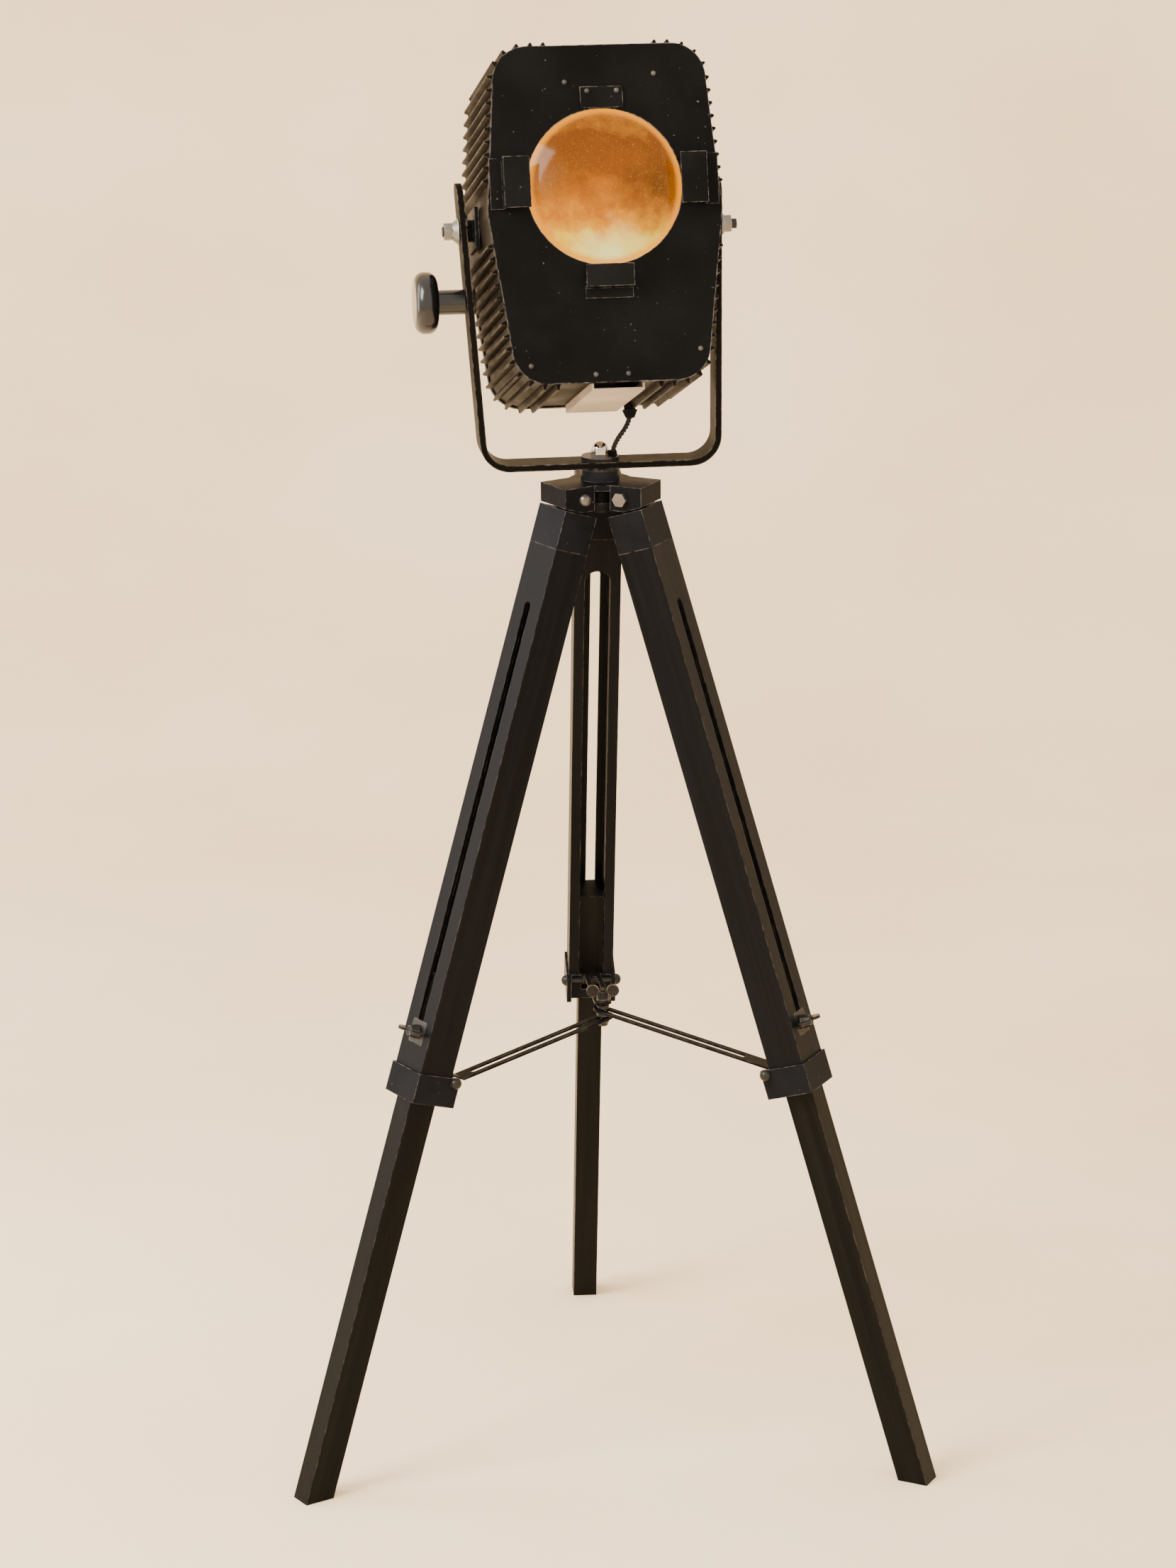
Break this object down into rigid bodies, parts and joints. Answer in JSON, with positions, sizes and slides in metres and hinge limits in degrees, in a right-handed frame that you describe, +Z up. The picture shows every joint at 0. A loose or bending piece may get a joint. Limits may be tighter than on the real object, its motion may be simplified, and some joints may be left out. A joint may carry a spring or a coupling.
{
  "type": "tripod spotlight floor lamp",
  "caption": "Floor lamp with a finned spotlight head tilting in a U-shaped yoke on a folding wooden tripod with telescoping legs and a slotted strip spreader.",
  "frame": {"origin": "on the floor, under the middle of the bounding box seen from above", "axes": "+Z up, the lens faces -Y, the back leg points to +Y, the tilt knob is on the -X side"},
  "size_m": [0.6672, 0.5779, 1.4786],
  "materials": {
    "black_casting": "worn satin black paint",
    "plain_steel": "dull plated steel",
    "bright_cap": "bright",
    "leg_wood": "black painted wood, satin",
    "lower_wood": "black painted wood, satin",
    "black_steel": "satin black paint",
    "yoke_paint": "dark bronze-black paint, worn",
    "knob_plastic": "gloss black",
    "lead_fabric": "black twisted fabric",
    "black_rubber": "matte",
    "head_paint": "black paint with worn edges",
    "fin_paint": "brown-black paint",
    "amber_glass": "dusty amber glass",
    "pale_sheet": "dull pale sheet",
    "reflector_metal": "polished",
    "porcelain": "white ceramic",
    "clear_glass": "clear"
  },
  "bodies": {
    "tripod_head": {"head_casting": "black_casting", "leg_hinge_bolts": "plain_steel", "swivel_collar": "black_casting", "pan_bolt": "black_steel", "pan_cap_nut": "bright_cap"},
    "hub": {"hub_bolt": "plain_steel", "hub_spacers": "plain_steel"},
    "hub_nut": {"hub_wing_nut": "plain_steel"},
    "yoke": {"yoke_bar": "yoke_paint", "pan_washers": "black_steel", "lead_grommet": "black_rubber", "tilt_lock_bush": "plain_steel", "head_lead": "lead_fabric"},
    "tilt_knob": {"tilt_lock_knob": "knob_plastic"},
    "head": {"housing": "fin_paint", "front_plate": "head_paint", "rear_cover": "head_paint", "lens": "amber_glass", "lens_ring": "plain_steel", "lens_clips": "head_paint", "plate_rivets": "plain_steel", "bottom_tray": "pale_sheet", "lead_gland": "black_rubber", "pivot_plates": "head_paint", "pivot_studs": "plain_steel", "pivot_nuts": "plain_steel", "reflector": "reflector_metal", "lamp_holder": "porcelain", "bulb": "clear_glass", "holder_bracket": "plain_steel", "terminal_block": "porcelain"},
    "upper_leg_1": {"leg_1_ferrule": "black_steel", "leg_1_upper": "leg_wood", "leg_1_clamp_plate": "plain_steel", "leg_1_collar": "black_steel", "leg_1_collar_pin": "plain_steel"},
    "wing_screw_1": {"leg_1_wing_screw": "plain_steel"},
    "lower_leg_1": {"leg_1_lower": "lower_wood"},
    "strip_1": {"spreader_strip_1": "black_steel"},
    "upper_leg_2": {"leg_2_ferrule": "black_steel", "leg_2_upper": "leg_wood", "leg_2_clamp_plate": "plain_steel", "leg_2_collar": "black_steel", "leg_2_collar_pin": "plain_steel"},
    "wing_screw_2": {"leg_2_wing_screw": "plain_steel"},
    "lower_leg_2": {"leg_2_lower": "lower_wood"},
    "strip_2": {"spreader_strip_2": "black_steel"},
    "upper_leg_3": {"leg_3_ferrule": "black_steel", "leg_3_upper": "leg_wood", "leg_3_clamp_plate": "plain_steel", "leg_3_collar": "black_steel", "leg_3_collar_pin": "plain_steel"},
    "wing_screw_3": {"leg_3_wing_screw": "plain_steel"},
    "lower_leg_3": {"leg_3_lower": "lower_wood"},
    "strip_3": {"spreader_strip_3": "black_steel"}
  },
  "joints": [
    {"name": "leg_fold_1", "type": "hinge", "parent": "tripod_head", "child": "upper_leg_1", "pos_m": [-0.0297, -0.10605, 1.0157], "axis": [0.5, -0.866, 0], "range_deg": [0, 15]},
    {"name": "strip_fold_1", "type": "hinge", "parent": "upper_leg_1", "child": "strip_1", "pos_m": [-0.17199, -0.1882, 0.42775], "axis": [0.5, -0.866, 0], "range_deg": [-15, 0]},
    {"name": "leg_extend_1", "type": "slide", "parent": "upper_leg_1", "child": "lower_leg_1", "axis": [0.2657, 0.1534, 0.9518], "range_m": [-0.035, 0.36]},
    {"name": "wing_screw_turn_1", "type": "hinge", "parent": "upper_leg_1", "child": "wing_screw_1", "pos_m": [-0.1965, -0.20235, 0.48205], "axis": [-0.8242, -0.4759, 0.3069], "range_deg": [0, 270]},
    {"name": "leg_fold_2", "type": "hinge", "parent": "tripod_head", "child": "upper_leg_2", "pos_m": [0.0297, -0.10605, 1.0157], "axis": [0.5, 0.866, 0], "range_deg": [0, 15]},
    {"name": "strip_fold_2", "type": "hinge", "parent": "upper_leg_2", "child": "strip_2", "pos_m": [0.17199, -0.1882, 0.42775], "axis": [0.5, 0.866, 0], "range_deg": [-15, 0]},
    {"name": "leg_extend_2", "type": "slide", "parent": "upper_leg_2", "child": "lower_leg_2", "axis": [-0.2657, 0.1534, 0.9518], "range_m": [-0.035, 0.36]},
    {"name": "wing_screw_turn_2", "type": "hinge", "parent": "upper_leg_2", "child": "wing_screw_2", "pos_m": [0.1965, -0.20235, 0.48205], "axis": [0.8242, -0.4759, 0.3069], "range_deg": [0, 270]},
    {"name": "leg_fold_3", "type": "hinge", "parent": "tripod_head", "child": "upper_leg_3", "pos_m": [0, -0.0546, 1.0157], "axis": [-1, 0, 0], "range_deg": [0, 15]},
    {"name": "strip_fold_3", "type": "hinge", "parent": "upper_leg_3", "child": "strip_3", "pos_m": [0, 0.10969, 0.42775], "axis": [-1, 0, 0], "range_deg": [-15, 0]},
    {"name": "leg_extend_3", "type": "slide", "parent": "upper_leg_3", "child": "lower_leg_3", "axis": [0, -0.3069, 0.9518], "range_m": [-0.035, 0.36]},
    {"name": "wing_screw_turn_3", "type": "hinge", "parent": "upper_leg_3", "child": "wing_screw_3", "pos_m": [0, 0.13799, 0.48205], "axis": [0, 0.9518, 0.3069], "range_deg": [0, 270]},
    {"name": "hub_slide", "type": "slide", "parent": "strip_1", "child": "hub", "axis": [-0.854, -0.4931, -0.1661], "range_m": [0, 0.16]},
    {"name": "hub_nut_turn", "type": "hinge", "parent": "hub", "child": "hub_nut", "pos_m": [0, -0.0889, 0.4612], "axis": [0, 0, 1], "range_deg": [0, 270]},
    {"name": "yoke_pan", "type": "hinge", "parent": "tripod_head", "child": "yoke", "pos_m": [0, -0.0889, 1.0427], "axis": [0, 0, 1], "range_deg": [-170, 170]},
    {"name": "head_tilt", "type": "hinge", "parent": "yoke", "child": "head", "pos_m": [-0.00932, -0.0896, 1.2856], "axis": [-0.9972, -0.075, 0], "range_deg": [-35, 30], "deforming": ["head_lead"]},
    {"name": "tilt_knob_turn", "type": "hinge", "parent": "yoke", "child": "tilt_knob", "pos_m": [-0.16279, -0.10114, 1.2146], "axis": [-0.9972, -0.075, 0], "range_deg": [0, 270]}
  ],
  "couplings": [
    {"joint": "strip_fold_1", "follows": "leg_fold_1", "ratio": -1},
    {"joint": "leg_fold_2", "follows": "leg_fold_1", "ratio": 1},
    {"joint": "strip_fold_2", "follows": "leg_fold_1", "ratio": -1},
    {"joint": "leg_fold_3", "follows": "leg_fold_1", "ratio": 1},
    {"joint": "strip_fold_3", "follows": "leg_fold_1", "ratio": -1},
    {"joint": "hub_slide", "follows": "leg_fold_1", "m_per_rad": 0.61113}
  ]
}
